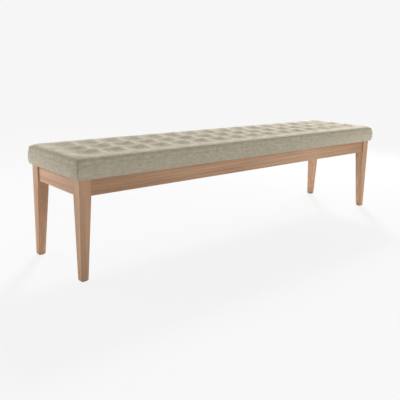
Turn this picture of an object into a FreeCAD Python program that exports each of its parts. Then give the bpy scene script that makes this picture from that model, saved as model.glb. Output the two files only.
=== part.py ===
import FreeCAD, Part
import math
import os

# Upholstered bench: a long tufted seat on an oak frame with four tapered legs.
# X runs along the bench to the right, Y from the front to the back and Z up.
# The origin is on the floor under the middle of the bench. Sizes are in millimetres.

# Seat outline, which the frame follows
seat_length = 1800.0
seat_depth = 410.0
seat_overhang = 18.0         # seat beyond the outer faces of the legs

# Oak frame
frame_height = 370.0         # floor to the tops of the legs and the aprons
leg_head = 46.0              # side of the square leg beside the aprons
leg_foot = 28.0              # side of the square leg at the floor
taper_drop = 6.0             # the taper starts this far below the aprons
leg_easing = 2.0             # bevel on the long edges of a leg
apron_height = 62.0
apron_thickness = 22.0
apron_setback = 5.5          # apron face behind the leg face
apron_easing = 1.5           # bevel on the lower edges
tenon_length = 22.0
tenon_thickness = 9.0
tenon_shoulder = 9.0         # apron left above and below the tenon
mortise_relief = 1.0         # glue room at the end of the tenon

# Felt pads under the feet
pad_size = 22.0
pad_height = 3.0
pad_bevel = 3.0

# Corner blocks
block_arm = 75.0             # length along each apron
block_tip = 8.0              # thickness left at the ends
block_height = 38.0
block_leg_gap = 0.5
block_seat_screw = 31.0      # seat screw, from both aprons
tongue_place = 58.0          # tongue in the apron, from the corner
tongue_width = 8.0
tongue_depth = 5.0

# Cross rails
cross_rail_tufts = 3         # tuft spacings from the middle to each cross rail
cross_rail_width = 45.0
cross_rail_height = 38.0
cross_rail_screw = 40.0      # seat screws, from the ends of the rail
stub_length = 10.0           # stub tenon in the long apron
stub_width = 30.0
stub_height = 20.0

# Pan head seat screws
screw_radius = 2.2
screw_head_radius = 4.2
screw_head_height = 2.6
screw_tip = 5.0
screw_bite = 10.0            # thread in the seat board

# Seat
seat_height = 80.0           # frame to the highest part of the cover
seat_corner = 16.0           # radius of the upright corners at the belly
corner_steps = 5             # flats round each upright corner
board_thickness = 15.0
foam_thickness = 47.0
foam_bevel = 14.0            # upper edge of the foam cut away for a soft roll
cover_thickness = 1.0
hem_thickness = 2.0          # cover turned under the board, folded double
hem_width = 50.0
draw_in = 9.0                # the band narrows by this much under its belly
belly_height = 36.0          # widest part of the band above the frame
bottom_round = 3.0
band_steps = 6               # flats up the side
seam_drop = 27.0             # seam of the top panel below its highest part
seam_groove = 1.0
seam_half_width = 3.0

# Tufts
tuft_columns = 16
tuft_rows = 3
tuft_margin_x = 105.0        # from the ends of the seat to the outer tufts
tuft_margin_y = 109.0
tuft_depth = 16.0
dip_sharpness = 1.9          # how quickly the dips end towards the swells between them
dip_power = 2.2
dip_steps = 4                # flats across each dip
border_drop = 5.0            # fall of the top from the border swell to the edge
border_steps = 3
foam_hole_radius = 8.0
board_hole_radius = 4.0
twine_width = 3.0
twine_thickness = 1.2
twine_tail = 14.0            # end of the twine, laid flat under the board

# Dust cover
dust_thickness = 0.4
dust_lift = 0.15             # above the frame

# Clearances
drill_gap = 0.1              # round the screws
board_gap = 0.5              # between the board or the foam and the cover
soft_gap = 0.3               # between soft pieces that follow each other
edge_gap = 2.0               # between the dust cover and the hem

# Lengths, heights and places that follow from the sizes above
frame_length = seat_length - 2 * seat_overhang
frame_depth = seat_depth - 2 * seat_overhang
tuft_pitch_x = (seat_length - 2 * tuft_margin_x) / (tuft_columns - 1)
tuft_pitch_y = (seat_depth - 2 * tuft_margin_y) / (tuft_rows - 1)
apron_bottom = frame_height - apron_height
board_bottom = frame_height + hem_thickness
foam_bottom = board_bottom + board_thickness
foam_top = foam_bottom + foam_thickness
seat_top = frame_height + seat_height
seam_level = seat_top - seam_drop
block_bottom = frame_height - block_height
cross_rail_bottom = frame_height - cross_rail_height
inside_x = frame_length / 2 - apron_setback - apron_thickness
inside_y = frame_depth / 2 - apron_setback - apron_thickness
cross_rail_x = cross_rail_tufts * tuft_pitch_x
board_inset = draw_in + cover_thickness + board_gap
tuft_xs = [(i - (tuft_columns - 1) / 2) * tuft_pitch_x for i in range(tuft_columns)]
tuft_ys = [(j - (tuft_rows - 1) / 2) * tuft_pitch_y for j in range(tuft_rows)]
corners = {
    "front_left": (-1, -1),
    "front_right": (1, -1),
    "back_left": (-1, 1),
    "back_right": (1, 1),
}

up = FreeCAD.Vector(0, 0, 1)
nowhere = FreeCAD.Vector(0, 0, 0)


def point(x, y, z):
    return FreeCAD.Vector(x, y, z)


def block(x_range, y_range, z_range):
    """A box between two corners, given as ranges in any order."""
    low = [min(pair) for pair in (x_range, y_range, z_range)]
    high = [max(pair) for pair in (x_range, y_range, z_range)]
    size = [b - a for a, b in zip(low, high)]
    return Part.makeBox(size[0], size[1], size[2], point(*low))


def prism(outline, z_low, z_high):
    """An upright solid over an outline of (x, y) corners."""
    face = flat_face([point(x, y, z_low) for x, y in outline])
    return face.extrude(point(0, 0, z_high - z_low))


def rod(place, direction, radius, length, sides=8):
    """A many-sided bar from a place along a direction."""
    turn = FreeCAD.Rotation(up, direction)
    ring = []
    for i in range(sides):
        angle = 2 * math.pi * (i + 0.5) / sides
        corner = point(radius * math.cos(angle), radius * math.sin(angle), 0)
        ring.append(place + turn.multVec(corner))
    return flat_face(ring).extrude(direction * length)


def bevelled_square(size, bevel, z, centre):
    """The corners of a square with its own corners cut off."""
    half = size / 2
    short = half - bevel
    ring = [
        (half, -short), (half, short), (short, half), (-short, half),
        (-half, short), (-half, -short), (-short, -half), (short, -half),
    ]
    return [point(centre[0] + x, centre[1] + y, z) for x, y in ring]


def flat_face(ring):
    return Part.Face(Part.makePolygon(ring + ring[:1]))


def flat_sided(rings):
    """A solid with flat sides from ring to ring of corners."""
    faces = [flat_face(rings[0]), flat_face(rings[-1])]
    for lower, upper in zip(rings, rings[1:]):
        for i in range(len(lower)):
            faces.append(flat_face([lower[i - 1], lower[i], upper[i], upper[i - 1]]))
    return closed_solid(faces)


def closed_solid(faces):
    shell = Part.makeShell(faces)
    shell.sewShape()
    return Part.makeSolid(shell)


def rounded_ring(half_x, half_y, radius, z):
    """The corners of a rectangle whose own corners are rounded by short flats."""
    ring = []
    for side_x, side_y, start in ((1, 1, 0), (-1, 1, 90), (-1, -1, 180), (1, -1, 270)):
        centre_x = side_x * (half_x - radius)
        centre_y = side_y * (half_y - radius)
        for step in range(corner_steps + 1):
            angle = math.radians(start + 90 * step / corner_steps)
            x = centre_x + radius * math.cos(angle)
            y = centre_y + radius * math.sin(angle)
            ring.append(point(x, y, z))
    return ring


def save(name, shape):
    shape.exportStep(os.path.join("parts", name + ".step"))
    print(name, len(shape.Solids), round(shape.Volume), shape.isValid())


# Felt pads: glued under the feet.

def foot_pad(side_x, side_y):
    centre = (side_x * (frame_length - leg_foot) / 2, side_y * (frame_depth - leg_foot) / 2)
    outline = bevelled_square(pad_size, pad_bevel, 0, centre)
    return flat_face(outline).extrude(point(0, 0, pad_height))


# Legs: square beside the aprons, then tapered on the two inner faces.
# Each has two mortises for the apron tenons.

def leg_section(side_x, side_y, size, z):
    """The corners of an eased square that keeps to the outer corner of the frame."""
    centre = (side_x * (frame_length - size) / 2, side_y * (frame_depth - size) / 2)
    return bevelled_square(size, leg_easing, z, centre)


def tenon_box(length, clearance):
    """One tenon of an apron that runs along X, from its shoulder outwards."""
    middle = apron_setback + apron_thickness / 2
    half = tenon_thickness / 2
    z_low = apron_bottom + tenon_shoulder
    z_high = frame_height - tenon_shoulder
    return (0, length + clearance), (middle - half, middle + half), (z_low, z_high)


def mortises(side_x, side_y):
    run, across, height = tenon_box(tenon_length, mortise_relief)
    face_x = frame_length / 2 - leg_head
    face_y = frame_depth / 2 - leg_head
    long_x = (side_x * face_x, side_x * (face_x + run[1]))
    long_y = [side_y * (frame_depth / 2 - value) for value in across]
    short_x = [side_x * (frame_length / 2 - value) for value in across]
    short_y = (side_y * face_y, side_y * (face_y + run[1]))
    return [block(long_x, long_y, height), block(short_x, short_y, height)]


def leg(side_x, side_y):
    taper_top = apron_bottom - taper_drop
    sections = [
        leg_section(side_x, side_y, leg_foot, pad_height),
        leg_section(side_x, side_y, leg_head, taper_top),
        leg_section(side_x, side_y, leg_head, frame_height),
    ]
    return flat_sided(sections).cut(mortises(side_x, side_y))


# Aprons: four rails between the legs with a tenon at each end. They are grooved
# for the corner blocks, and the long ones are mortised for the cross rails.

def apron_blank(span):
    """An apron along X about the origin, outer face at Y zero, inner face towards +Y."""
    half = span / 2
    body = block((-half, half), (0, apron_thickness), (apron_bottom, frame_height))
    lower = [
        e for e in body.Edges
        if abs(e.tangentAt(e.FirstParameter).x) > 0.9 and e.CenterOfMass.z < apron_bottom + 1
    ]
    body = body.makeChamfer(apron_easing, lower)
    run, across, height = tenon_box(tenon_length, 0)
    for end in (-1, 1):
        x_range = (end * half, end * (half + run[1]))
        y_range = [value - apron_setback for value in across]
        body = body.fuse(block(x_range, y_range, height))
    return body.removeSplitter()


def place_apron(body, quarter_turns, x, y):
    body.rotate(nowhere, up, 90 * quarter_turns)
    body.translate(point(x, y, 0))
    return body


def aprons():
    long_span = frame_length - 2 * leg_head
    short_span = frame_depth - 2 * leg_head
    face_x = frame_length / 2 - apron_setback
    face_y = frame_depth / 2 - apron_setback
    blanks = {
        "apron_front": place_apron(apron_blank(long_span), 0, 0, -face_y),
        "apron_back": place_apron(apron_blank(long_span), 2, 0, face_y),
        "apron_left": place_apron(apron_blank(short_span), -1, -face_x, 0),
        "apron_right": place_apron(apron_blank(short_span), 1, face_x, 0),
    }
    cuts = stub_tenons(mortise_relief)
    for side_x, side_y in corners.values():
        cuts += tongues(side_x, side_y, mortise_relief)
    return {name: blank.cut(cuts) for name, blank in blanks.items()}


# Corner blocks: glued into each corner of the frame with a tongue in both aprons,
# and notched round the leg. Distances run inwards from the corner where the
# inner faces of the two aprons meet.

def inside_corner(side_x, side_y, along_x, along_y):
    return side_x * (inside_x - along_x), side_y * (inside_y - along_y)


def tongues(side_x, side_y, clearance):
    """The two tongues of one block, or with a clearance their grooves."""
    depth = tongue_depth + clearance
    height = (block_bottom, frame_height)
    low_x, low_y = inside_corner(side_x, side_y, tongue_place, tongue_place)
    high_x, high_y = inside_corner(
        side_x, side_y, tongue_place + tongue_width, tongue_place + tongue_width
    )
    in_long = block((low_x, high_x), (side_y * inside_y, side_y * (inside_y + depth)), height)
    in_short = block((side_x * inside_x, side_x * (inside_x + depth)), (low_y, high_y), height)
    return [in_long, in_short]


def corner_block(side_x, side_y):
    notch = leg_head - apron_setback - apron_thickness + block_leg_gap
    outline = [
        (notch, 0),
        (block_arm, 0),
        (block_arm, block_tip),
        (block_tip, block_arm),
        (0, block_arm),
        (0, notch),
        (notch, notch),
    ]
    outline = [inside_corner(side_x, side_y, u, v) for u, v in outline]
    body = prism(outline, block_bottom, frame_height)
    body = body.fuse(tongues(side_x, side_y, 0)).removeSplitter()
    return body.cut(seat_screw_holes())


# Cross rails: two rails across the frame with a stub tenon in each long apron.

def stub_tenons(clearance):
    """The stub tenons of both cross rails, or with a clearance their mortises."""
    middle = (cross_rail_bottom + frame_height) / 2
    height = (middle - stub_height / 2, middle + stub_height / 2)
    stubs = []
    for side_x in (-1, 1):
        x = side_x * cross_rail_x
        for side_y in (-1, 1):
            far_y = side_y * (inside_y + stub_length + clearance)
            width = (x - stub_width / 2, x + stub_width / 2)
            stubs.append(block(width, (side_y * inside_y, far_y), height))
    return stubs


def cross_rail(side_x):
    x = side_x * cross_rail_x
    half = cross_rail_width / 2
    body = block((x - half, x + half), (-inside_y, inside_y), (cross_rail_bottom, frame_height))
    stubs = [stub for stub in stub_tenons(0) if stub.CenterOfMass.x * side_x > 0]
    return body.fuse(stubs).removeSplitter().cut(seat_screw_holes())


# Seat screws: up through the corner blocks and cross rails into the seat board.

def seat_screw_places():
    places = []
    for side_x, side_y in corners.values():
        x, y = inside_corner(side_x, side_y, block_seat_screw, block_seat_screw)
        places.append(point(x, y, block_bottom))
    for side_x in (-1, 1):
        for side_y in (-1, 1):
            x = side_x * cross_rail_x
            y = side_y * (inside_y - cross_rail_screw)
            places.append(point(x, y, cross_rail_bottom))
    return places


def seat_screw(place):
    """A pan head under the wood, a shank through it and a point in the board."""
    length = board_bottom + screw_bite - place.z
    head = rod(place, -up, screw_head_radius, screw_head_height)
    shank = rod(place, up, screw_radius, length - screw_tip)
    point_end = rod(place + up * (length - screw_tip), up, screw_radius / 2, screw_tip)
    return head.fuse([shank, point_end])


def seat_screw_holes():
    holes = []
    for place in seat_screw_places():
        depth = board_bottom + screw_bite + mortise_relief - place.z
        holes.append(rod(place, up, screw_radius + drill_gap, depth))
    return holes


# Side of the seat: how far it lies inside its widest outline at each height.
# The band narrows towards the frame, the seam sits in a groove and the top
# panel rolls over the edge above it.

def band_inset(height):
    tuck = draw_in * ((height - belly_height) / belly_height) ** 2
    if height < bottom_round:
        tuck += 2 * (bottom_round - height) / bottom_round
    return tuck


def band_levels(low, high, skin):
    """Levels of the band as (inset, z), evenly spread over the height."""
    heights = [low + (high - low) * i / band_steps for i in range(band_steps + 1)]
    if low < bottom_round:
        heights.insert(1, bottom_round)
    return [(band_inset(h) + skin, frame_height + h) for h in heights]


def roll_levels(skin):
    """Levels from the seam over the rolled edge to above the top."""
    seam_height = seat_height - seam_drop
    seam_inset = band_inset(seam_height)
    levels = [(seam_inset + seam_groove + skin, seam_level)]
    for angle in (10, 32, 53, 72):
        turn = math.radians(angle)
        inset = seam_inset + seam_drop * (1 - math.cos(turn))
        levels.append((inset + skin, seam_level + seam_drop * math.sin(turn) - skin))
    inset, z = levels[-1]
    levels.append((inset + seam_drop / 2, z + seam_drop / 6))
    return levels


def seat_body(levels):
    rings = []
    for inset, z in levels:
        radius = max(seat_corner - inset, bottom_round)
        rings.append(rounded_ring(seat_length / 2 - inset, seat_depth / 2 - inset, radius, z))
    return flat_sided(rings)


# Tufted top: flats over a mesh of places, with a bowl round every tuft and swells
# between the bowls and along the border.

def dip(x, y):
    """How deep the nearest tuft pulls the top down at a place."""
    away_x = min(abs(x - tuft) for tuft in tuft_xs) / (tuft_pitch_x / 2)
    away_y = min(abs(y - tuft) for tuft in tuft_ys) / (tuft_pitch_y / 2)
    far = math.hypot(away_x, away_y)
    least = math.exp(-dip_sharpness * math.sqrt(2) ** dip_power)
    return tuft_depth * max(0.0, math.exp(-dip_sharpness * far ** dip_power) - least)


def border_fall(place, tufts, pitch, half):
    """How far the top has fallen outside the outer swell."""
    swell = tufts[-1] + pitch / 2
    return border_drop * max(0.0, (abs(place) - swell) / (half - swell)) ** 2


def mesh_places(tufts, pitch, half):
    """Places across the top: even steps over the dips, then steps over the border."""
    swell = tufts[-1] + pitch / 2
    steps = dip_steps * len(tufts)
    places = [-swell + 2 * swell * i / steps for i in range(steps + 1)]
    for i in range(border_steps):
        beyond = swell + (half + seam_drop - swell) * (i + 1) / border_steps
        places.append(beyond)
        places.insert(0, -beyond)
    return places


def tufted_space(skin):
    """The space under the top, or with a skin the space left under it."""
    half_x = seat_length / 2
    half_y = seat_depth / 2
    xs = mesh_places(tuft_xs, tuft_pitch_x, half_x)
    ys = mesh_places(tuft_ys, tuft_pitch_y, half_y)
    top = []
    for x in xs:
        fall_x = border_fall(x, tuft_xs, tuft_pitch_x, half_x)
        row = []
        for y in ys:
            fall = fall_x + border_fall(y, tuft_ys, tuft_pitch_y, half_y)
            row.append(point(x, y, seat_top - skin - dip(x, y) - fall))
        top.append(row)
    faces = []
    for near, far in zip(top, top[1:]):
        for i in range(len(ys) - 1):
            faces.append(flat_face([near[i], far[i], far[i + 1]]))
            faces.append(flat_face([near[i], far[i + 1], near[i + 1]]))
    rim = [row[0] for row in top]
    rim += top[-1][1:]
    rim += [row[-1] for row in reversed(top[:-1])]
    rim += reversed(top[0][1:-1])
    foot = [point(corner.x, corner.y, frame_height - seam_drop) for corner in rim]
    for i in range(len(rim)):
        faces.append(flat_face([rim[i - 1], rim[i], foot[i], foot[i - 1]]))
    faces.append(flat_face(foot))
    return closed_solid(faces)


# Cover: a tufted top panel and four bands that turn under the seat board.

def top_panel():
    outer = seat_body(roll_levels(0)).common(tufted_space(0))
    levels = roll_levels(cover_thickness)
    levels[0] = (levels[0][0], seam_level)
    inner = seat_body(levels).common(tufted_space(cover_thickness))
    return outer.cut(inner)


def bands():
    seam_height = seat_height - seam_drop
    groove = band_inset(seam_height) + seam_groove
    below = seam_height - seam_half_width
    outer = band_levels(0, below, 0) + [(groove, seam_level)]
    inner = band_levels(hem_thickness, below, cover_thickness)
    inner.append((groove + cover_thickness, seam_level))
    shell = seat_body(outer).cut(seat_body(inner))
    open_x = seat_length / 2 - hem_width
    open_y = seat_depth / 2 - hem_width
    shell = shell.cut(block((-open_x, open_x), (-open_y, open_y), (0, seam_level)))
    # Mitre lines run at 45 degrees through the corners, where the upright seams are.
    far_x = seat_length / 2 + seat_corner
    far_y = seat_depth / 2 + seat_corner
    ridge = far_x - far_y
    wedges = {
        "cover_band_front": [(-far_x, -far_y), (far_x, -far_y), (ridge, 0), (-ridge, 0)],
        "cover_band_back": [(far_x, far_y), (-far_x, far_y), (-ridge, 0), (ridge, 0)],
        "cover_band_left": [(-far_x, far_y), (-far_x, -far_y), (-ridge, 0)],
        "cover_band_right": [(far_x, -far_y), (far_x, far_y), (ridge, 0)],
    }
    return {
        name: shell.common(prism(outline, 0, seat_top)) for name, outline in wedges.items()
    }


# Padding: foam with a drilled hole at every tuft, under a wadding wrap.

def padding_ring(inset, z):
    radius = seat_corner - board_inset
    return rounded_ring(seat_length / 2 - inset, seat_depth / 2 - inset, radius, z)


def tuft_holes(radius, z_low, z_high):
    return [
        rod(point(x, y, z_low), up, radius, z_high - z_low, sides=6)
        for x in tuft_xs
        for y in tuft_ys
    ]


def foam_block(clearance):
    """The foam without its holes, larger all round by a clearance."""
    inset = board_inset - clearance
    top = foam_top + clearance
    rings = [
        padding_ring(inset, foam_bottom),
        padding_ring(inset, top - foam_bevel),
        padding_ring(inset + foam_bevel, top),
    ]
    return flat_sided(rings)


def foam_pad():
    return foam_block(0).cut(tuft_holes(foam_hole_radius, foam_bottom, foam_top))


def wadding():
    skin = cover_thickness + soft_gap
    below = seat_height - seam_drop - seam_half_width
    levels = band_levels(foam_bottom - frame_height, below, skin) + roll_levels(skin)
    body = seat_body(levels).common(tufted_space(skin))
    return body.cut(foam_block(soft_gap))


# Seat board: plywood with a hole at every tuft and pilot holes for the seat screws.

def seat_board():
    outline = padding_ring(board_inset, board_bottom)
    body = flat_face(outline).extrude(point(0, 0, board_thickness))
    holes = tuft_holes(board_hole_radius, board_bottom, foam_bottom)
    return body.cut(holes + seat_screw_holes())


# Tuft twines: flat waxed twine from each tuft down through foam and board,
# with its tail laid flat under the board.

def tuft_twine(x, y):
    top = seat_top - tuft_depth - cover_thickness - soft_gap
    under = board_bottom - drill_gap / 2
    tail_low = under - twine_thickness
    half = twine_thickness / 2
    outline = [
        (-half, top),
        (-half, tail_low),
        (twine_tail, tail_low),
        (twine_tail, under),
        (half, under),
        (half, top),
    ]
    ring = [point(x + u, y - twine_width / 2, z) for u, z in outline]
    return flat_face(ring).extrude(point(0, twine_width, 0))


# Dust cover: a thin cloth under the seat board, inside the hem.

def dust_cover():
    inset = hem_width + edge_gap
    low = frame_height + dust_lift
    body = block(
        (inset - seat_length / 2, seat_length / 2 - inset),
        (inset - seat_depth / 2, seat_depth / 2 - inset),
        (low, low + dust_thickness),
    )
    return body.cut(seat_screw_holes())


# The build: every piece goes to its own file.

os.makedirs("parts", exist_ok=True)

pads = [foot_pad(side_x, side_y) for side_x, side_y in corners.values()]
save("foot_pads", Part.makeCompound(pads))
for corner, (side_x, side_y) in corners.items():
    save("leg_" + corner, leg(side_x, side_y))
    save("corner_block_" + corner, corner_block(side_x, side_y))
for name, body in aprons().items():
    save(name, body)
save("cross_rail_left", cross_rail(-1))
save("cross_rail_right", cross_rail(1))
screws = [seat_screw(place) for place in seat_screw_places()]
save("seat_screws", Part.makeCompound(screws))

save("seat_board", seat_board())
save("dust_cover", dust_cover())
save("foam_pad", foam_pad())
save("wadding", wadding())
twines = [tuft_twine(x, y) for x in tuft_xs for y in tuft_ys]
save("tuft_twines", Part.makeCompound(twines))
save("cover_top_panel", top_panel())
for name, body in bands().items():
    save(name, body)
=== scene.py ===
import math

import bmesh
import bpy
from mathutils import Matrix, Vector, noise


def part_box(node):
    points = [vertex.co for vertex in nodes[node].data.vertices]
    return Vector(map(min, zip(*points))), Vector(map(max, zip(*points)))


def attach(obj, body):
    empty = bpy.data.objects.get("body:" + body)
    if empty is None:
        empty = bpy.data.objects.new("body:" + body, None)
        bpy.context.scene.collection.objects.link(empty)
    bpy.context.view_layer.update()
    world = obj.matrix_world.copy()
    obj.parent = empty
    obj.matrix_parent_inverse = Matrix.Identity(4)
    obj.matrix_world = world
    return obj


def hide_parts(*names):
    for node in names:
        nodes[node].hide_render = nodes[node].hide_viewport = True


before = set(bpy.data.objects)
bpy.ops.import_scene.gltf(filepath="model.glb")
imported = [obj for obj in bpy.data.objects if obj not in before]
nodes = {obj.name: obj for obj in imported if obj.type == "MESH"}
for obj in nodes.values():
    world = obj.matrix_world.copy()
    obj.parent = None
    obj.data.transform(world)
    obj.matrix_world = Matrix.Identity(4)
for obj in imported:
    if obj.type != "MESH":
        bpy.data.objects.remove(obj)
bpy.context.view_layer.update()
bench = bpy.data.collections.new("bench")
bpy.context.scene.collection.children.link(bench)


# Oak legs and aprons
# The legs are square beside the aprons and taper on their two inner faces. They and
# the aprons are solid oak, mortised and tenoned together and finished with clear oil.

class Tree:
    """A node tree that is put together one node at a time."""

    def __init__(self, tree):
        self.tree = tree

    def node(self, kind, settings=None, inputs=None, output=0):
        """Adds a node with its settings, fills its sockets and gives one output back."""
        made = self.tree.nodes.new(kind)
        for name, value in (settings or {}).items():
            if name == "stops":
                set_stops(made.color_ramp, value)
            else:
                setattr(made, name, value)
        for name, value in (inputs or {}).items():
            socket = made.inputs[name]
            if isinstance(value, Amount):
                self.tree.links.new(value.socket, socket)
            else:
                socket.default_value = value
        return Amount(self, made.outputs[output])

    def axes(self, where):
        """The three coordinates of a place."""
        split = self.node("ShaderNodeSeparateXYZ", inputs={"Vector": where})
        return [Amount(self, split.socket.node.outputs[name]) for name in "XYZ"]


class Amount:
    """What comes out of a node, so that sums on it read as sums."""

    def __init__(self, owner, socket):
        self.owner = owner
        self.socket = socket

    def sum(self, operation, first, second=0.0):
        return self.owner.node("ShaderNodeMath", {"operation": operation}, {0: first, 1: second})

    def __add__(self, other):
        return self.sum("ADD", self, other)

    def __sub__(self, other):
        return self.sum("SUBTRACT", self, other)

    def __rsub__(self, other):
        return self.sum("SUBTRACT", other, self)

    def __mul__(self, other):
        return self.sum("MULTIPLY", self, other)

    def __pow__(self, other):
        return self.sum("POWER", self, other)

    __radd__ = __add__
    __rmul__ = __mul__

    def size(self):
        return self.sum("ABSOLUTE", self)

    def most(self, other):
        return self.sum("MAXIMUM", self, other)

    def over(self, limit):
        return self.sum("GREATER_THAN", self, limit)

    def wave(self):
        return self.sum("SINE", self)

    def part(self):
        return self.sum("FRACT", self)


def set_stops(ramp, stops):
    """Fills a colour ramp with (place, colour) stops."""
    while len(ramp.elements) < len(stops):
        ramp.elements.new(1.0)
    for element, (place, colour) in zip(ramp.elements, stops):
        element.position = place
        element.color = colour


def paint(red, green, blue):
    """A colour as a paint card gives it, from 0 to 255, for a material."""
    linear = []
    for value in (red, green, blue):
        share = value / 255
        linear.append(share / 12.92 if share <= 0.04045 else ((share + 0.055) / 1.055) ** 2.4)
    return (*linear, 1.0)


class Finish(Tree):
    """The material of a piece."""

    def __init__(self, name):
        self.material = bpy.data.materials.new(name)
        self.material.use_nodes = True
        super().__init__(self.material.node_tree)
        self.shader = self.tree.nodes["Principled BSDF"]

    def place(self, turn=(0, 0, 0)):
        """Where a point lies on the bench in metres, turned so that the grain runs along X."""
        where = self.node("ShaderNodeTexCoord", output="Object")
        return self.node("ShaderNodeMapping", inputs={"Vector": where, "Rotation": turn})

    def stretched(self, where, scales):
        return self.node(
            "ShaderNodeVectorMath", {"operation": "MULTIPLY"}, {0: where, 1: scales}
        )

    def speckle(self, where, scale=1.0, detail=2.0, roughness=0.5, distortion=0.0):
        inputs = {
            "Vector": where, "Scale": scale, "Detail": detail,
            "Roughness": roughness, "Distortion": distortion,
        }
        return self.node("ShaderNodeTexNoise", inputs=inputs)

    def spread(self, value, low, high, out_low=0.0, out_high=1.0):
        """Spreads a range of an amount over another range, and stops at its ends."""
        inputs = {
            "Value": value, "From Min": low, "From Max": high,
            "To Min": out_low, "To Max": out_high,
        }
        return self.node("ShaderNodeMapRange", inputs=inputs)

    def mix(self, share, first, second, blend="MIX"):
        settings = {"data_type": "RGBA", "blend_type": blend}
        return self.node("ShaderNodeMix", settings, {0: share, 6: first, 7: second}, output=2)

    def bump(self, height, distance, strength=1.0):
        inputs = {"Height": height, "Distance": distance, "Strength": strength}
        return self.node("ShaderNodeBump", inputs=inputs)

    def finish(self, colour, roughness, normal=None, constants=None):
        """Joins the colour, the roughness and the bump to the shader."""
        wanted = {"Base Color": colour, "Roughness": roughness, "Normal": normal}
        for name, value in wanted.items():
            if isinstance(value, Amount):
                self.tree.links.new(value.socket, self.shader.inputs[name])
            elif value is not None:
                self.shader.inputs[name].default_value = value
        for name, value in (constants or {}).items():
            self.shader.inputs[name].default_value = value
        return self.material


ALONG_X = (0, 0, 0)
ALONG_Y = (0, 0, math.radians(90))
ALONG_Z = (0, math.radians(90), 0)


def solid_wood(name, grain, pale, dark, pore, ring_width, pores=1.0, painted_end_shade=0.0):
    """Sawn wood: rings round a far log centre, fibres along the grain and short pores.

    The ends of a long board are painted darker than its middle by the share of painted_end_shade:
    painted shade, not a tone of the wood."""
    log_centre = 0.24
    ring_wander = 0.030
    pale_middle = 0.15
    wood = Finish(name)
    where = wood.place(grain)
    along, across, upward = wood.axes(where)
    drift = wood.speckle(wood.stretched(where, (1.1, 5.0, 5.0)), detail=1.0)
    # painted shade: darkens the board towards both ends, away from its lighter middle
    ends = wood.spread((along - pale_middle + drift * 0.2).size(), 0.30, 0.75) * painted_end_shade
    below = upward - log_centre
    far = (across * across + below * below) ** 0.5
    rings = ((far + drift * ring_wander) * (1 / ring_width)).part()
    late = wood.spread(rings, 0.45, 0.95) - wood.spread(rings, 0.95, 1.0)
    fibres = wood.speckle(wood.stretched(where, (5.0, 320.0, 320.0)), detail=3.0, roughness=0.6)
    streaks = wood.speckle(wood.stretched(where, (1.6, 34.0, 34.0)), detail=2.0)
    dashes = wood.speckle(wood.stretched(where, (45.0, 1300.0, 1300.0)), detail=1.0)
    dashes = wood.spread(dashes, 0.64, 0.72) * pores
    shade = late * 0.22 + wood.spread(fibres, 0.3, 0.7) * 0.26
    shade = shade + wood.spread(streaks, 0.3, 0.7) * 0.52
    colour = wood.mix(shade * (1 - ends) + ends, pale, dark)
    colour = wood.mix(dashes * 0.55, colour, pore)
    height = fibres * 0.5 - dashes
    roughness = wood.spread(fibres, 0.3, 0.7, 0.46, 0.60)
    normal = wood.bump(height, 0.0002, 0.5)
    return wood.finish(colour, roughness, normal, {"Specular IOR Level": 0.35})


oak_pale = paint(227, 187, 152)
oak_dark = paint(164, 118, 86)
oak_pore = paint(138, 98, 70)
oak_ring = 0.0070
oak_upright = solid_wood("oak_upright", ALONG_Z, oak_pale, oak_dark, oak_pore, oak_ring)
# the long aprons get painted shade that darkens their ends
oak_lengthwise = solid_wood(
    "oak_lengthwise", ALONG_X, oak_pale, oak_dark, oak_pore, oak_ring, painted_end_shade=0.45
)
oak_crosswise = solid_wood("oak_crosswise", ALONG_Y, oak_pale, oak_dark, oak_pore, oak_ring)


def dress(node, material):
    """Gives a CAD node its material."""
    piece = nodes[node]
    if not piece.material_slots:
        piece.data.materials.append(material)
    for place in piece.material_slots:
        place.material = material


for corner in ("front_left", "front_right", "back_left", "back_right"):
    dress("leg_" + corner, oak_upright)
for side in ("front", "back"):
    dress("apron_" + side, oak_lengthwise)
for side in ("left", "right"):
    dress("apron_" + side, oak_crosswise)


# Beech corner blocks and cross rails
# The blocks are glued into the corners with a tongue in each apron. The cross rails
# stand between the long aprons on stub tenons. Both are plain planed beech.

beech_sizes = (paint(214, 180, 146), paint(196, 156, 120), paint(166, 120, 86), 0.0030, 0.5)
beech_crosswise = solid_wood("beech_crosswise", ALONG_Y, *beech_sizes)
beech_lengthwise = solid_wood("beech_lengthwise", ALONG_X, *beech_sizes)
for corner in ("front_left", "front_right", "back_left", "back_right"):
    dress("corner_block_" + corner, beech_lengthwise)
for side in ("left", "right"):
    dress("cross_rail_" + side, beech_crosswise)


# Felt pads
# Pressed wool felt, cut square with its corners off. One pad is glued under each foot,
# a little inside the edges of the wood.

def felt_finish():
    felt = Finish("grey_felt")
    where = felt.place()
    hairs = felt.speckle(where, 900.0, detail=4.0, roughness=0.7, distortion=1.5)
    patches = felt.speckle(where, 160.0, detail=2.0)
    shade = felt.spread(hairs, 0.3, 0.7) * 0.7 + patches * 0.3
    colour = felt.mix(shade, paint(84, 80, 74), paint(132, 127, 118))
    return felt.finish(colour, 0.95, felt.bump(hairs, 0.0006, 0.8), {"Sheen Weight": 0.2})


dress("foot_pads", felt_finish())


# Seat board
# Birch plywood of thin plies under the padding. It is sawn to the seat's outline,
# drilled for the tufts and held by the seat screws.

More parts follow.
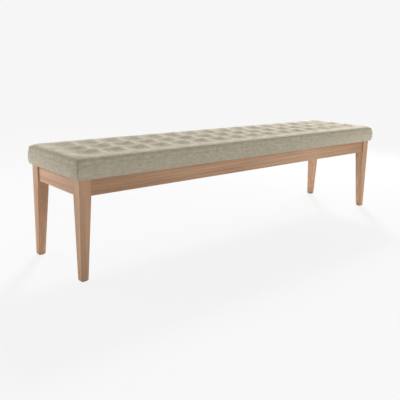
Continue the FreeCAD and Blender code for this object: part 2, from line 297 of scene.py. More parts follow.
def plywood_finish(bottom, thickness, plies):
    """Veneer faces with the grain along the seat, and plies that show at every cut edge."""
    plywood = Finish("birch_plywood")
    where = plywood.place()
    _, _, upward = plywood.axes(where)
    ply = (upward - bottom) * (plies / thickness / 2)
    crossed = ply.part().over(0.5)
    fibres = plywood.speckle(plywood.stretched(where, (6.0, 380.0, 380.0)), detail=3.0)
    flame = plywood.speckle(plywood.stretched(where, (1.2, 14.0, 14.0)), detail=2.0)
    shade = plywood.spread(fibres, 0.3, 0.7) * 0.4 + plywood.spread(flame, 0.35, 0.65) * 0.3
    colour = plywood.mix(shade + crossed * 0.35, paint(222, 196, 158), paint(172, 132, 92))
    return plywood.finish(colour, 0.7, plywood.bump(fibres, 0.0002, 0.5))


board_plies = 9
board_low, board_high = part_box("seat_board")
plywood = plywood_finish(board_low.z, board_high.z - board_low.z, board_plies)
dress("seat_board", plywood)


# Tuft twines
# Waxed linen twine, three strands twisted together, from each tuft down through the
# foam and the board, with its tail under the board.

strand_twist = 3100.0        # radians of the strands' wave in a metre
strand_slant = 1.4


def twine_finish():
    twine = Finish("waxed_twine")
    where = twine.place()
    _, sideways, upward = twine.axes(where)
    strands = ((upward + sideways * strand_slant) * strand_twist).wave()
    hairs = twine.speckle(where, 1500.0, detail=2.0)
    shade = twine.spread(strands, -1.0, 1.0) * 0.6 + hairs * 0.4
    colour = twine.mix(shade, paint(150, 128, 94), paint(206, 188, 152))
    return twine.finish(colour, 0.5, twine.bump(strands, 0.0003, 0.7))


dress("tuft_twines", twine_finish())


# Seat screws
# Zinc plated pan head screws with a cross recess, driven up through the corner
# blocks and the cross rails into the seat board.

screw_head_width = 0.0084
screw_head_height = 0.0026
screw_shank_width = 0.0044
screw_bite = 0.010           # how far the point reaches into the seat board
screw_sides = 20
thread_turns = 10
thread_rise = 0.0006
recess_width = 0.0046
recess_slot = 0.0011
recess_depth = 0.0015
block_screw_inset = 0.031    # from the inner faces of the aprons
rail_screw_inset = 0.040
block_tongue = 0.005
rail_stub = 0.010


def mesh_piece(name, vertices, faces, material):
    """A new object of the bench from corners and faces."""
    mesh = bpy.data.meshes.new(name)
    mesh.from_pydata(vertices, [], faces)
    mesh.update()
    piece = bpy.data.objects.new(name, mesh)
    bench.objects.link(piece)
    piece.data.materials.append(material)
    return piece


def steel_finish():
    steel = Finish("zinc_plated_steel")
    where = steel.place()
    clouds = steel.speckle(where, 420.0, detail=3.0)
    scratches = steel.speckle(steel.stretched(where, (300.0, 4000.0, 900.0)), detail=2.0)
    colour = steel.mix(clouds, paint(158, 160, 160), paint(196, 197, 194))
    roughness = steel.spread(clouds + scratches * 0.3, 0.4, 0.9, 0.28, 0.48)
    return steel.finish(colour, roughness, steel.bump(scratches, 0.00005), {"Metallic": 1.0})


def close_up(piece):
    """Merges the doubled corners of a piece and turns its faces outwards."""
    shape = bmesh.new()
    shape.from_mesh(piece.data)
    bmesh.ops.remove_doubles(shape, verts=shape.verts, dist=1e-6)
    bmesh.ops.recalc_face_normals(shape, faces=shape.faces)
    shape.to_mesh(piece.data)
    shape.free()
    return piece


def turned(name, profile, sides, material):
    """A closed turned shape from (radius, height) places that start and end on the axis."""
    vertices = []
    faces = []
    for radius, height in profile:
        for side in range(sides):
            angle = 2 * math.pi * side / sides
            vertices.append((radius * math.cos(angle), radius * math.sin(angle), height))
    for ring in range(len(profile) - 1):
        for side in range(sides):
            after = (side + 1) % sides
            low = ring * sides
            faces.append((low + side, low + after, low + sides + after, low + sides + side))
    return close_up(mesh_piece(name, vertices, faces, material))


def settle(piece):
    """Turns what the modifiers make of a piece into its plain mesh."""
    bpy.context.view_layer.update()
    seen = bpy.context.evaluated_depsgraph_get()
    made = bpy.data.meshes.new_from_object(piece.evaluated_get(seen))
    piece.modifiers.clear()
    piece.data = made
    return piece


def forget(*pieces):
    for piece in pieces:
        bpy.data.objects.remove(piece)


steel = steel_finish()
block_low, block_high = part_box("corner_block_back_right")
rail_low, rail_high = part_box("cross_rail_right")
screw_length = board_low.z + screw_bite - block_low.z
head = screw_head_width / 2
shank = screw_shank_width / 2
screw_profile = [
    (0, -screw_head_height), (head * 0.55, -screw_head_height * 0.94),
    (head * 0.86, -screw_head_height * 0.70), (head, -screw_head_height * 0.30), (head, 0),
    (shank, 0), (shank, screw_length * 0.45), (shank * 0.8, screw_length * 0.46),
]
for turn in range(thread_turns):
    start = screw_length * (0.48 + 0.40 * turn / thread_turns)
    screw_profile.append((shank * 0.75, start))
    screw_profile.append((shank, start + thread_rise))
screw_profile.append((0, screw_length))
screw = turned("screw_shape", screw_profile, screw_sides, steel)
arm = recess_width / 2
half_slot = recess_slot / 2
cross = [
    (arm, -half_slot), (arm, half_slot), (half_slot, half_slot), (half_slot, arm),
    (-half_slot, arm), (-half_slot, half_slot), (-arm, half_slot), (-arm, -half_slot),
    (-half_slot, -half_slot), (-half_slot, -arm), (half_slot, -arm), (half_slot, -half_slot),
]
recess_top = -screw_head_height + recess_depth
cross_low = [(x, y, -screw_head_height * 1.5) for x, y in cross]
cross_high = [(x, y, recess_top) for x, y in cross]
count = len(cross)
cross_faces = [tuple(range(count))[::-1], tuple(range(count, 2 * count))]
for i in range(count):
    after = (i + 1) % count
    cross_faces.append((i, after, count + after, count + i))
cutter = mesh_piece("recess_shape", cross_low + cross_high, cross_faces, steel)
cut = screw.modifiers.new("recess", "BOOLEAN")
cut.object = cutter
settle(screw)


def placing_tree(name, shape, inputs, make_points):
    """A node tree that sets copies of a shape on the points that it is given."""
    group = bpy.data.node_groups.new(name, "GeometryNodeTree")
    group.interface.new_socket("Geometry", in_out="INPUT", socket_type="NodeSocketGeometry")
    for label in inputs:
        group.interface.new_socket(label, in_out="INPUT", socket_type="NodeSocketFloat")
    group.interface.new_socket("Geometry", in_out="OUTPUT", socket_type="NodeSocketGeometry")
    tree = Tree(group)
    start = group.nodes.new("NodeGroupInput")
    given = {label: Amount(tree, start.outputs[label]) for label in ["Geometry", *inputs]}
    points, turns = make_points(tree, given)
    copy = tree.node("GeometryNodeObjectInfo", inputs={"Object": shape}, output="Geometry")
    placed = {"Points": points, "Instance": copy}
    if turns:
        placed["Rotation"] = turns
    many = tree.node("GeometryNodeInstanceOnPoints", inputs=placed)
    solid = tree.node("GeometryNodeRealizeInstances", inputs={"Geometry": many})
    material = shape.data.materials[0]
    finished = {"Geometry": solid, "Material": material}
    dressed = tree.node("GeometryNodeSetMaterial", inputs=finished)
    end = group.nodes.new("NodeGroupOutput")
    group.links.new(dressed.socket, end.inputs["Geometry"])
    return group


def place_copies(piece, group, sizes):
    """Runs a placing tree on a piece with its sizes and keeps the result as a plain mesh."""
    modifier = piece.modifiers.new("placing", "NODES")
    modifier.node_group = group
    for item in group.interface.items_tree:
        if item.in_out == "INPUT" and item.name in sizes:
            modifier[item.identifier] = sizes[item.name]
    return settle(piece)


def at_corners(tree, given):
    points = tree.node("GeometryNodeMeshToPoints", inputs={"Mesh": given["Geometry"]})
    return points, None


block_screw_x = block_high.x - block_tongue - block_screw_inset
block_screw_y = block_high.y - block_tongue - block_screw_inset
rail_screw_x = (rail_low.x + rail_high.x) / 2
rail_screw_y = rail_high.y - rail_stub - rail_screw_inset
screw_places = []
for x, y in ((block_screw_x, block_screw_y), (rail_screw_x, rail_screw_y)):
    for side_x in (-1, 1):
        for side_y in (-1, 1):
            screw_places.append((side_x * x, side_y * y, block_low.z))
seat_screws = mesh_piece("seat_screw_set", screw_places, [], steel)
place_copies(seat_screws, placing_tree("screws_in_place", screw, [], at_corners), {})
forget(screw, cutter)
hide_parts("seat_screws")
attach(seat_screws, "root")


# Foam pad
# Firm polyurethane foam on the board, its upper edge cut away for a soft roll, with a
# hole bored through it at every tuft.

def foam_finish():
    foam = Finish("seat_foam")
    where = foam.place()
    cells = foam.node(
        "ShaderNodeTexVoronoi", {"feature": "F1"}, {"Vector": where, "Scale": 700.0}
    )
    tone = foam.speckle(where, 12.0, detail=3.0)
    shade = foam.spread(cells, 0.1, 0.7) * 0.5 + tone * 0.5
    colour = foam.mix(shade, paint(196, 178, 120), paint(232, 220, 176))
    return foam.finish(colour, 0.92, foam.bump(cells, 0.0008, 0.8))


def padding_from(node, name, material, swell, lump_size):
    """The padding of a CAD node with flat faces merged and its skin made uneven."""
    piece = bpy.data.objects.new(name, nodes[node].data.copy())
    bench.objects.link(piece)
    piece.data.materials.clear()
    piece.data.materials.append(material)
    shape = bmesh.new()
    shape.from_mesh(piece.data)
    bmesh.ops.remove_doubles(shape, verts=shape.verts, dist=1e-5)
    bmesh.ops.dissolve_limit(
        shape, angle_limit=math.radians(1), verts=shape.verts, edges=shape.edges
    )
    bmesh.ops.triangulate(shape, faces=shape.faces)
    for vertex in shape.verts:
        lumps = noise.noise(vertex.co / lump_size)
        vertex.co += vertex.normal * swell * (lumps - 0.5)
    shape.to_mesh(piece.data)
    shape.free()
    return piece


foam_pad = padding_from("foam_pad", "foam_block", foam_finish(), 0.0002, 0.05)
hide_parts("foam_pad")
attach(foam_pad, "root")


# Wadding
# Soft white polyester wadding wrapped over the foam. It fills the cover, so its outer
# side has the form of the finished seat, with a bowl round every tuft.

seat_box = [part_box("cover_band_" + side) for side in ("left", "right", "front", "back")]
half_length = seat_box[1][1].x
half_depth = seat_box[3][1].y
seat_bottom = seat_box[0][0].z
seam_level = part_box("cover_top_panel")[0].z
seat_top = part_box("cover_top_panel")[1].z
seam_drop = seat_top - seam_level
belly_level = seat_bottom + 0.036
draw_in = 0.009
seam_groove = 0.0006
corner_radius = 0.010
corner_pull = 0.0065         # how far the upright corner seams draw the side in
corner_pull_least = 0.0005
corner_pull_level = seat_bottom + 0.046
corner_pull_above = 0.020
corner_pull_below = 0.040
corner_pull_width = 0.028
right_pull_share = 0.3       # the right end is drawn in less
gather_depth = 0.0011        # creases beside the long seam
gather_lift = 0.005
gather_height = 0.010
gather_corner = 0.045
wave_depth = 0.0009
edge_reach = 0.02
tuft_columns = 16
tuft_rows = 3
tuft_pitch_x = 0.106
tuft_pitch_y = 0.096
tuft_depth = 0.0160
bowl_sharpness = 1.18        # how quickly a bowl ends towards the swells round it
bowl_power = 2.75
bowl_rest = 0.047            # what the bowl's curve still holds where four swells meet
end_reach = 1.25             # the outer bowls reach further out over the border
side_reach = 1.30
pinch_share = 0.08           # part of the depth that the twine itself pulls in
pinch_reach = 0.13
fold_height = 0.0014
fold_reach = 0.45
border_drop = 0.010
unevenness = 0.0010


def band_inset(level):
    """How far the side of the seat lies inside its belly at a level."""
    return draw_in * ((level - belly_level) / (belly_level - seat_bottom)) ** 2


def hump(value, reach):
    """A smooth hump: 1 at zero, and nearly nothing past twice its reach."""
    return math.exp(-(value / reach) ** 2)


def from_tuft(value, pitch, count, border):
    """Distance from the nearest line of tufts, as a share of half their spacing."""
    last = (count - 1) / 2
    place = value / pitch
    index = min(max(round(place + last), 0), count - 1) - last
    away = 2 * (place - index)
    return away / border if abs(place) > last else away


def tuft_dip(x, y):
    """How deep the tufts pull the seat down at a place: a bowl, a pinch and four soft folds."""
    away_x = from_tuft(x, tuft_pitch_x, tuft_columns, end_reach)
    away_y = from_tuft(y, tuft_pitch_y, tuft_rows, side_reach)
    far = math.hypot(away_x, away_y)
    bowl = (math.exp(-bowl_sharpness * far ** bowl_power) - bowl_rest) / (1 - bowl_rest)
    pull = (1 - pinch_share) * bowl + pinch_share * hump(far, pinch_reach)
    folds = math.cos(4 * math.atan2(away_y, away_x)) * far * hump(far, fold_reach)
    return tuft_depth * pull - fold_height * folds


def top_height(x, y):
    """Height of the top above the seam, with its border swell and a little unevenness."""
    last_x = tuft_columns / 2 * tuft_pitch_x
    last_y = tuft_rows / 2 * tuft_pitch_y
    fall_x = max(0.0, (abs(x) - last_x) / (half_length - last_x))
    fall_y = max(0.0, (abs(y) - last_y) / (half_depth - last_y))
    fall = border_drop * (fall_x ** 2 + fall_y ** 2)
    uneven = unevenness * noise.noise(Vector((x * 14, y * 14, 3.0)))
    return seam_drop - tuft_dip(x, y) - fall + uneven


def soft_least(first, second, softness):
    """The lesser of two sizes, with the bend between them rounded."""
    gap = abs(first - second) / softness
    return min(first, second) - softness * math.log(1 + math.exp(-gap))


def lines_across(half, pitch, count, steps):
    """Places of the mesh lines across the top: close at the rolled edges, even between."""
    edge_lines = 10
    last = (count - 1) / 2 * pitch
    inner = [i * pitch / steps for i in range(round(last / pitch * steps) + 1)]
    reach = half - seam_drop - last
    border_lines = 2 * round(reach / (pitch / steps) / 2)
    inner += [last + reach * (i + 1) / border_lines for i in range(border_lines)]
    for i in range(edge_lines):
        angle = math.radians(90) * (i + 1) / edge_lines
        inner.append(half - seam_drop + seam_drop * math.sin(angle))
    return [-value for value in inner[:0:-1]] + inner


def round_corner(x, y, half_x, half_y, radius):
    """Moves a place on a square cornered panel to the same panel with round corners."""
    out_x = (abs(x) - (half_x - radius)) / radius
    out_y = (abs(y) - (half_y - radius)) / radius
    if out_x <= 0 or out_y <= 0:
        return x, y, min(half_x - abs(x), half_y - abs(y))
    disc_x = out_x * math.sqrt(max(0, 1 - out_y ** 2 / 2))
    disc_y = out_y * math.sqrt(max(0, 1 - out_x ** 2 / 2))
    new_x = math.copysign(half_x - radius + disc_x * radius, x)
    new_y = math.copysign(half_y - radius + disc_y * radius, y)
    return new_x, new_y, radius * (1 - math.hypot(disc_x, disc_y))


def pulled(x, y, level):
    """A place on the side, pulled in at the corner seam and gathered beside the long seam."""
    away = math.hypot(abs(x) - half_length, abs(y) - half_depth)
    height = level - corner_pull_level
    reach = corner_pull_above if height > 0 else corner_pull_below
    pinch = corner_pull_least + corner_pull * hump(height, reach)
    pinch *= hump(away, corner_pull_width) * (1.0 if x < 0 else right_pull_share)
    spot = Vector((x, y, level * 5))
    creases = noise.noise(spot * 46) + 0.6 * noise.noise(spot * 105)
    near_seam = hump(level - seam_level - gather_lift, gather_height)
    gather = gather_depth * creases * near_seam * (0.6 + hump(away, gather_corner))
    wave = wave_depth * noise.noise(Vector((x * 8, y * 8, level * 26)))
    edge_x = math.exp(-max(0.0, half_length - abs(x)) / edge_reach)
    edge_y = math.exp(-max(0.0, half_depth - abs(y)) / edge_reach)
    near = max(edge_x, edge_y)
    push = (gather + wave) * near - pinch
    total = math.hypot(edge_x, edge_y)
    x += math.copysign(1, x) * push * edge_x / total
    y += math.copysign(1, y) * push * edge_y / total
    return x, y


seam_inset = band_inset(seam_level) + seam_groove
seam_half_x = half_length - seam_inset
seam_half_y = half_depth - seam_inset
seam_radius = corner_radius - seam_inset
line_xs = lines_across(seam_half_x, tuft_pitch_x, tuft_columns, steps=20)
line_ys = lines_across(seam_half_y, tuft_pitch_y, tuft_rows, steps=18)


def top_place(line_x, line_y, skin=0.0):
    """A place on the finished top, or that far under it."""
    corner_softness = 0.005
    crest_softness = 0.0012
    crest_lift = 0.0008
    half_x = seam_half_x - skin
    half_y = seam_half_y - skin
    x = line_x * half_x / seam_half_x
    y = line_y * half_y / seam_half_y
    x, y, inward = round_corner(x, y, half_x, half_y, seam_radius)
    inward = min(inward, soft_least(half_x - abs(x), half_y - abs(y), corner_softness))
    share = min(max(inward / seam_drop, 0.0), 1.0)
    roll = seam_drop * math.sqrt(1 - (1 - share) ** 2) + max(0.0, inward - seam_drop)
    height = 0.0
    if inward > 0:
        height = max(0.0, soft_least(roll, top_height(x, y) + crest_lift, crest_softness))
    x, y = pulled(x, y, seam_level + height)
    return x, y, seam_level + height - skin * share


def side_place(line_x, line_y, inset, level):
    """A place on the finished side at a level and an inset from its belly."""
    least_radius = 0.003
    half_x = half_length - inset
    half_y = half_depth - inset
    x = line_x * half_x / seam_half_x
    y = line_y * half_y / seam_half_y
    x, y, _ = round_corner(x, y, half_x, half_y, max(corner_radius - inset, least_radius))
    x, y = pulled(x, y, level)
    return x, y, level


def round_the_seam(xs, ys):
    """Crossings of mesh lines along the seam, from the back left corner and back to it."""
    seam = [(xs[0], y) for y in reversed(ys)]
    seam += [(x, ys[0]) for x in xs[1:]]
    seam += [(xs[-1], y) for y in ys[1:]]
    seam += [(x, ys[-1]) for x in reversed(xs[:-1])]
    return seam


def wadding_finish():
    wadding = Finish("polyester_wadding")
    where = wadding.place()
    hairs = wadding.speckle(where, 260.0, detail=5.0, roughness=0.7, distortion=3.0)
    clumps = wadding.speckle(where, 30.0, detail=3.0)
    shade = wadding.spread(hairs, 0.35, 0.65) * 0.6 + clumps * 0.4
    colour = wadding.mix(shade, paint(214, 214, 210), paint(242, 242, 238))
    bump = wadding.bump(hairs, 0.0015, 0.7)
    return wadding.finish(colour, 0.96, bump, {"Sheen Weight": 0.3})


def wadding_shape():
    """A closed wrap: its outer side under the cover, its inner side on the foam."""
    foam_low, foam_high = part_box("foam_pad")
    skin = 0.0020
    slack = 0.0004
    least = 0.0005
    bevel = 0.014
    side_rows = 6
    xs = line_xs[::2]
    ys = line_ys[::2]
    outer = []
    inner = []
    for x in xs:
        for y in ys:
            place = top_place(x, y, skin)
            outer.append(place)
            in_x = x * (foam_high.x + slack) / seam_half_x
            in_y = y * (foam_high.y + slack) / seam_half_y
            slope = max(0.0, abs(in_x) - foam_high.x + bevel, abs(in_y) - foam_high.y + bevel)
            inner.append((in_x, in_y, min(foam_high.z + slack - slope, place[2] - least)))
    faces = []
    across = len(ys)
    count = len(outer)
    for i in range(len(xs) - 1):
        for j in range(across - 1):
            low = i * across + j
            quad = (low, low + across, low + across + 1, low + 1)
            faces.append(quad)
            faces.append(tuple(corner + count for corner in reversed(quad)))
    vertices = outer + inner
    seam = round_the_seam(range(len(xs)), range(len(ys)))[:-1]
    upper = [i * across + j for i, j in seam]
    inner_rim = [corner + count for corner in upper]
    for row in range(side_rows):
        level = seam_level - (seam_level - foam_low.z) * (row + 1) / side_rows
        ring = []
        for i, j in seam:
            ring.append(len(vertices))
            vertices.append(side_place(xs[i], ys[j], band_inset(level) + skin, level))
        join_rings(faces, upper, ring)
        upper = ring
    ring = []
    for corner in inner_rim:
        x, y, _ = vertices[corner]
        ring.append(len(vertices))
        vertices.append((x, y, foam_low.z))
    join_rings(faces, upper, ring)
    join_rings(faces, ring, inner_rim)
    return vertices, faces


def join_rings(faces, upper, lower):
    """Adds the faces between two closed rings of corners."""
    for i in range(len(upper)):
        faces.append((upper[i - 1], lower[i - 1], lower[i], upper[i]))


wadding = mesh_piece("wadding_wrap", *wadding_shape(), wadding_finish())
for polygon in wadding.data.polygons:
    polygon.use_smooth = True
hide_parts("wadding")
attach(wadding, "root")


# Seat cover
# Slubby linen, sewn from a top panel and four side bands with plain seams, pulled
# down by 48 blind tufts in three rows and stapled under the seat board.

cloth_thickness = 0.0009
hem_width = 0.050
thread_spacing = 0.0021


def linen_finish(name):
    """Plain weave of uneven yarns in cloth lengths, with slubs, flecks and soft patches."""
    linen = Finish(name)
    where = linen.node("ShaderNodeUVMap", {"uv_map": "cloth"})
    along, across, _ = linen.axes(where)
    wander = linen.speckle(where, 60.0, detail=2.0) * 0.0008
    threads = 2 * math.pi / thread_spacing
    warp = ((along + wander) * threads).wave()
    weft = ((across + wander) * threads).wave()
    over = (warp * weft).over(0.0)
    weave = warp.size() * over + weft.size() * (1 - over)
    slub_x = linen.speckle(linen.stretched(where, (22.0, 420.0, 1.0)), detail=2.0)
    slub_y = linen.speckle(linen.stretched(where, (420.0, 22.0, 1.0)), detail=2.0)
    slubs = linen.spread(slub_x, 0.38, 0.66) * 0.85 + linen.spread(slub_y, 0.38, 0.66) * 0.15
    flecks = linen.speckle(linen.stretched(where, (45.0, 120.0, 1.0)), detail=4.0, roughness=0.7)
    patches = linen.speckle(where, 16.0, detail=2.0)
    shade = slubs * 0.34 + linen.spread(flecks, 0.38, 0.62) * 0.44
    shade = shade + linen.spread(patches, 0.3, 0.7) * 0.10 + weave * 0.12
    colour = linen.mix(shade, paint(177, 166, 143), paint(215, 206, 185))
    bump = linen.bump(weave * 0.6 + slubs * 0.4, 0.0006, 0.6)
    gloss = {"Sheen Weight": 0.04, "Sheen Roughness": 0.6, "Specular IOR Level": 0.2}
    return linen.finish(colour, 0.9, bump, gloss)


linen = linen_finish("slub_linen")


def cloth_piece(name, vertices, faces, cloth):
    """A piece of the cover with its cloth lengths as its own map, and the cloth's thickness."""
    piece = mesh_piece(name, vertices, faces, linen)
    layer = piece.data.uv_layers.new(name="cloth")
    for loop in piece.data.loops:
        layer.data[loop.index].uv = cloth[loop.vertex_index]
    for polygon in piece.data.polygons:
        polygon.use_smooth = True
    skin = piece.modifiers.new("thickness", "SOLIDIFY")
    skin.thickness = cloth_thickness
    skin.offset = -1
    return piece


def top_panel_shape():
    """The corners, faces and cloth lengths of the top panel."""
    vertices = [top_place(x, y) for x in line_xs for y in line_ys]
    cloth = [(x, y) for x in line_xs for y in line_ys]
    across = len(line_ys)
    faces = []
    for i in range(len(line_xs) - 1):
        for j in range(across - 1):
            low = i * across + j
            faces.append((low, low + across, low + across + 1, low + 1))
    return vertices, faces, cloth


top_panel = cloth_piece("seat_cover_top", *top_panel_shape())
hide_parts("cover_top_panel")
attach(top_panel, "root")


def band_rows():
    """Rows down the band and under the board as (inset, level, cloth length from the seam)."""
    height = seam_level - seat_bottom
    turn = 0.003
    groove_reach = 0.0022
    bead = 0.0008                # swelling over the fold at the lower edge
    bead_reach = 0.002
    bead_lift = 0.004
    even_rows = 11
    hem_rows = 6
    downs = [0.0, 0.0008, 0.0018, 0.0032, 0.0055]
    rest = height - turn - downs[-1]
    downs += [downs[-1] + rest * (i + 1) / even_rows for i in range(even_rows)]
    rows = []
    for down in downs:
        level = seam_level - down
        groove = seam_groove * hump(down, groove_reach)
        swelling = bead * hump(down - height + bead_lift, bead_reach)
        rows.append((band_inset(level) + groove - swelling, level, down))
    inset = rows[-1][0]
    for angle in (25, 50, 75, 90):
        bend = math.radians(angle)
        level = seat_bottom + turn * (1 - math.sin(bend))
        rows.append((inset + turn * (1 - math.cos(bend)), level, height - turn + turn * bend))
    inset, level, down = rows[-1]
    for i in range(hem_rows):
        inward = (hem_width - inset) * (i + 1) / hem_rows
        rows.append((inset + inward, level, down + inward))
    return rows


def band_shape(seam, runs):
    """The corners, faces and cloth lengths of one band along its part of the seam."""
    stitch_depth = 0.0010
    stitch_reach = 0.0016
    rows = band_rows()
    vertices = []
    cloth = []
    for (x, y), run in zip(seam, runs):
        to_seam = min(run - runs[0], runs[-1] - run)
        stitch = stitch_depth * hump(to_seam, stitch_reach)
        for inset, level, down in rows:
            vertices.append(side_place(x, y, inset + stitch, level))
            cloth.append((run, down))
    faces = []
    for i in range(len(seam) - 1):
        for j in range(len(rows) - 1):
            low = i * len(rows) + j
            faces.append((low, low + 1, low + len(rows) + 1, low + len(rows)))
    return vertices, faces, cloth


seam = round_the_seam(line_xs, line_ys)
runs = [0.0]
for (x, y), (next_x, next_y) in zip(seam, seam[1:]):
    runs.append(runs[-1] + math.hypot(next_x - x, next_y - y))
band_ends = [0]
for lines in (line_ys, line_xs, line_ys, line_xs):
    band_ends.append(band_ends[-1] + len(lines) - 1)
for name, start, end in zip(("left", "front", "right", "back"), band_ends, band_ends[1:]):
    shape = band_shape(seam[start:end + 1], runs[start:end + 1])
    band = cloth_piece("seat_cover_band_" + name, *shape)
    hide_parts("cover_band_" + name)
    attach(band, "root")


# Dust cover
# Thin black spunbonded cloth under the seat board, stapled round its edge. It is laid
# over the cross rails and the corner blocks and hangs a little between them.

dust_low, dust_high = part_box("dust_cover")
dust_thickness = 0.0003
dust_sag = 0.0016
rail_half_width = 0.030
edge_slope = 0.06            # from the stapled edge to the full sag
rail_slope = 0.05
block_corner = 0.10          # corner that a block holds up, measured along both edges
steps_x = 106
steps_y = 20


def dust_finish():
    dust = Finish("dust_cloth")
    where = dust.place()
    hairs = dust.speckle(where, 700.0, detail=4.0, roughness=0.8, distortion=2.0)
    dots = dust.node("ShaderNodeTexVoronoi", {"feature": "F1"}, {"Vector": where, "Scale": 420.0})
    shade = hairs * 0.6 + dust.spread(dots, 0.1, 0.5) * 0.4
    colour = dust.mix(shade, paint(30, 30, 30), paint(62, 62, 61))
    return dust.finish(colour, 0.85, dust.bump(dots, 0.0003, 0.6))


def dust_hang(x, y):
    """How far the cloth hangs down between its edges and the cross rails."""
    in_x = dust_high.x - abs(x)
    in_y = dust_high.y - abs(y)
    if in_x + in_y < block_corner:
        return 0.0
    rail = max(0.0, abs(abs(x) - rail_screw_x) - rail_half_width) / rail_slope
    hang = min(min(in_x, in_y) / edge_slope, rail, 1.0)
    return dust_sag * hang * hang * (3 - 2 * hang)


dust_vertices = []
for i in range(steps_x + 1):
    for j in range(steps_y + 1):
        x = dust_low.x + (dust_high.x - dust_low.x) * i / steps_x
        y = dust_low.y + (dust_high.y - dust_low.y) * j / steps_y
        wrinkle = 0.4 + 0.6 * noise.noise(Vector((x * 9, y * 14, 0.0)))
        dust_vertices.append((x, y, dust_high.z - dust_hang(x, y) * wrinkle))
dust_faces = []
for i in range(steps_x):
    for j in range(steps_y):
        low = i * (steps_y + 1) + j
        dust_faces.append((low, low + 1, low + steps_y + 2, low + steps_y + 1))
dust_cover = mesh_piece("dust_cloth", dust_vertices, dust_faces, dust_finish())
skin = dust_cover.modifiers.new("thickness", "SOLIDIFY")
skin.thickness = dust_thickness
skin.offset = -1
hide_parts("dust_cover")
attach(dust_cover, "root")


# Staples
# Wire staples that hold the edge of the dust cover up to the seat board. They leave
# out the places over the cross rails and the corner blocks.

staple_width = 0.010
staple_wire = 0.0007
staple_leg = 0.002
staple_bend = 0.0012
staple_spacing = 0.048
staple_margin = 0.008
staple_drop = 0.0004
block_edge_x = 0.776         # the corner blocks hide the edge beyond these
block_edge_y = 0.080


def staple_shape(material):
    """A crown with two bent shoulders and short legs, square in section."""
    bend = staple_bend
    half = staple_width / 2
    line = [(-half, staple_leg), (-half, bend), (-half + bend / 3, bend / 3), (-half + bend, 0)]
    line += [(-x, z) for x, z in reversed(line)]
    vertices = []
    for x, z in line:
        inner_x = x * (1 - staple_wire / half) if z > 0 else x
        inner_z = z + staple_wire if z < bend else z
        for y in (-staple_wire / 2, staple_wire / 2):
            vertices.append((x, y, z))
            vertices.append((inner_x, y, inner_z))
    end = 4 * (len(line) - 1)
    faces = [(0, 1, 3, 2), (end, end + 2, end + 3, end + 1)]
    for i in range(len(line) - 1):
        low = i * 4
        for a, b in ((0, 1), (1, 3), (3, 2), (2, 0)):
            faces.append((low + a, low + 4 + a, low + 4 + b, low + b))
    return close_up(mesh_piece("staple_shape", vertices, faces, material))


def round_the_edge(tree, given):
    """Points at the staple spacing round a rectangle, but not over the rails or the blocks."""
    sizes = {"Width": given["Length"], "Height": given["Depth"]}
    outline = tree.node("GeometryNodeCurvePrimitiveQuadrilateral", inputs=sizes)
    even = tree.node(
        "GeometryNodeResampleCurve", {"mode": "LENGTH"},
        {"Curve": outline, "Length": given["Spacing"]},
    )
    x, y, _ = tree.axes(tree.node("GeometryNodeInputPosition"))
    beside_rail = (x.size() - rail_screw_x).size().over(rail_half_width)
    over_block = x.size().over(block_edge_x) * y.size().over(block_edge_y)
    hidden = 1 - beside_rail * (1 - over_block)
    line = tree.node("GeometryNodeInputTangent")
    turns = tree.node(
        "FunctionNodeAlignRotationToVector", {"axis": "X"}, {"Vector": line}
    )
    kept = tree.node("GeometryNodeDeleteGeometry", inputs={"Geometry": even, "Selection": hidden})
    lift = tree.node("ShaderNodeCombineXYZ", inputs={"Z": given["Level"]})
    raised = tree.node("GeometryNodeSetPosition", inputs={"Geometry": kept, "Offset": lift})
    return raised, turns


staple = staple_shape(steel)
staples = mesh_piece("dust_cover_staples", [(0, 0, 0)], [], steel)
staple_inputs = ["Length", "Depth", "Spacing", "Level"]
staple_tree = placing_tree("staples_in_place", staple, staple_inputs, round_the_edge)
staple_sizes = {
    "Length": dust_high.x - dust_low.x - 2 * staple_margin,
    "Depth": dust_high.y - dust_low.y - 2 * staple_margin,
    "Spacing": staple_spacing,
    "Level": dust_low.z - staple_drop,
}
place_copies(staples, staple_tree, staple_sizes)
forget(staple)
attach(staples, "root")


# Floor, light and camera
# A pale sweep under plain studio light: a low key from behind that shows the tufts, and
# soft boxes round the bench. The camera stands at the front left corner.

ground_shown = 0.90          # share of the ground's own light in what the camera sees
ground_half = 12.0


def sweep_finish():
    """A matt grey sweep that the camera sees as pale as the photograph's ground."""
    sweep = Finish("pale_sweep")
    grain = sweep.speckle(sweep.place(), 30.0, detail=3.0)
    colour = sweep.mix(grain, paint(228, 228, 228), paint(232, 232, 232))
    sweep.finish(colour, 0.9, constants={"Specular IOR Level": 0.0})
    seen = sweep.node("ShaderNodeLightPath", output="Is Camera Ray")
    mirrored = sweep.node("ShaderNodeLightPath", output="Is Glossy Ray")
    through = sweep.node("ShaderNodeLightPath", output="Is Transmission Ray")
    share = seen.most(mirrored).most(through) * ground_shown
    pale = sweep.node("ShaderNodeEmission", inputs={"Color": paint(250, 250, 250)})
    white = Amount(sweep, sweep.shader.outputs[0])
    both = sweep.node("ShaderNodeMixShader", inputs={0: share, 1: white, 2: pale})
    output = sweep.tree.nodes["Material Output"]
    sweep.tree.links.new(both.socket, output.inputs["Surface"])
    return sweep.material


ground = [(x * ground_half, y * ground_half, 0) for x, y in ((-1, -1), (1, -1), (1, 1), (-1, 1))]
floor = mesh_piece("floor", ground, [(0, 1, 2, 3)], sweep_finish())

scene = bpy.context.scene
scene.view_settings.view_transform = "Standard"

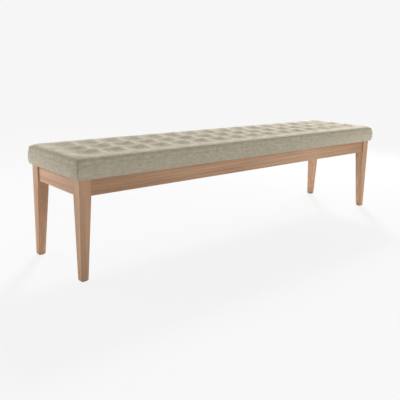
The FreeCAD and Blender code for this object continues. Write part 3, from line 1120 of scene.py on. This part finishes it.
sky_seen = 0.922             # strength of the white background as the camera sees it
sky_light = 0.24             # and as it lights the bench
world = bpy.data.worlds.new("studio")
world.use_nodes = True
scene.world = world
air = Tree(world.node_tree)
backdrop = world.node_tree.nodes["Background"]
backdrop.inputs["Color"].default_value = (1, 1, 1, 1)
camera_ray = air.node("ShaderNodeLightPath", output="Is Camera Ray")
strength = camera_ray * (sky_seen - sky_light) + sky_light
world.node_tree.links.new(strength.socket, backdrop.inputs["Strength"])


def stand(lamp, place):
    """Stands a lamp at a place and turns it to the middle of the bench."""
    placed = bpy.data.objects.new(lamp.name, lamp)
    placed.location = place
    placed.rotation_euler = Vector(place).to_track_quat("Z", "Y").to_euler()
    scene.collection.objects.link(placed)


def soft_box(name, power, width, height, place):
    lamp = bpy.data.lights.new(name, "AREA")
    lamp.energy = power
    lamp.shape = "RECTANGLE"
    lamp.size = width
    lamp.size_y = height
    stand(lamp, place)


soft_box("left_lamp", 21.0, 1.2, 1.2, (-1.9, 1.5, 0.8))
soft_box("right_lamp", 13.0, 1.0, 1.0, (2.3, -1.7, 1.2))
soft_box("end_lamp", 36.0, 0.8, 0.8, (2.2, 0.9, 1.3))
soft_box("front_lamp", 16.0, 2.4, 0.3, (-0.3, -3.2, 0.2))
key = bpy.data.lights.new("key_lamp", "SUN")
key.energy = 3.1
key.angle = math.radians(10)
stand(key, (0.55, 0.60, 0.55))

camera_place = Vector((-1.74539, -1.80947, 0.77816))
focal_length = 540.05        # in pixels of a picture 400 pixels wide
picture_width = 400
sensor_width = 36
yaw = 0.7308
pitch = -0.2150
roll = 0.0255
forward = Vector((
    math.sin(yaw) * math.cos(pitch), math.cos(yaw) * math.cos(pitch), math.sin(pitch)
))
level_right = Vector((math.cos(yaw), -math.sin(yaw), 0))
level_up = level_right.cross(forward)
right = level_right * math.cos(roll) + level_up * math.sin(roll)
above = level_up * math.cos(roll) - level_right * math.sin(roll)
lens = bpy.data.cameras.new("camera")
lens.sensor_width = sensor_width
lens.lens = focal_length / picture_width * sensor_width
lens.shift_x = -0.0225
lens.shift_y = -0.0535
camera = bpy.data.objects.new("camera", lens)
turn = Matrix((right, above, -forward)).transposed()
camera.matrix_world = Matrix.Translation(camera_place) @ turn.to_4x4()
scene.collection.objects.link(camera)
scene.camera = camera
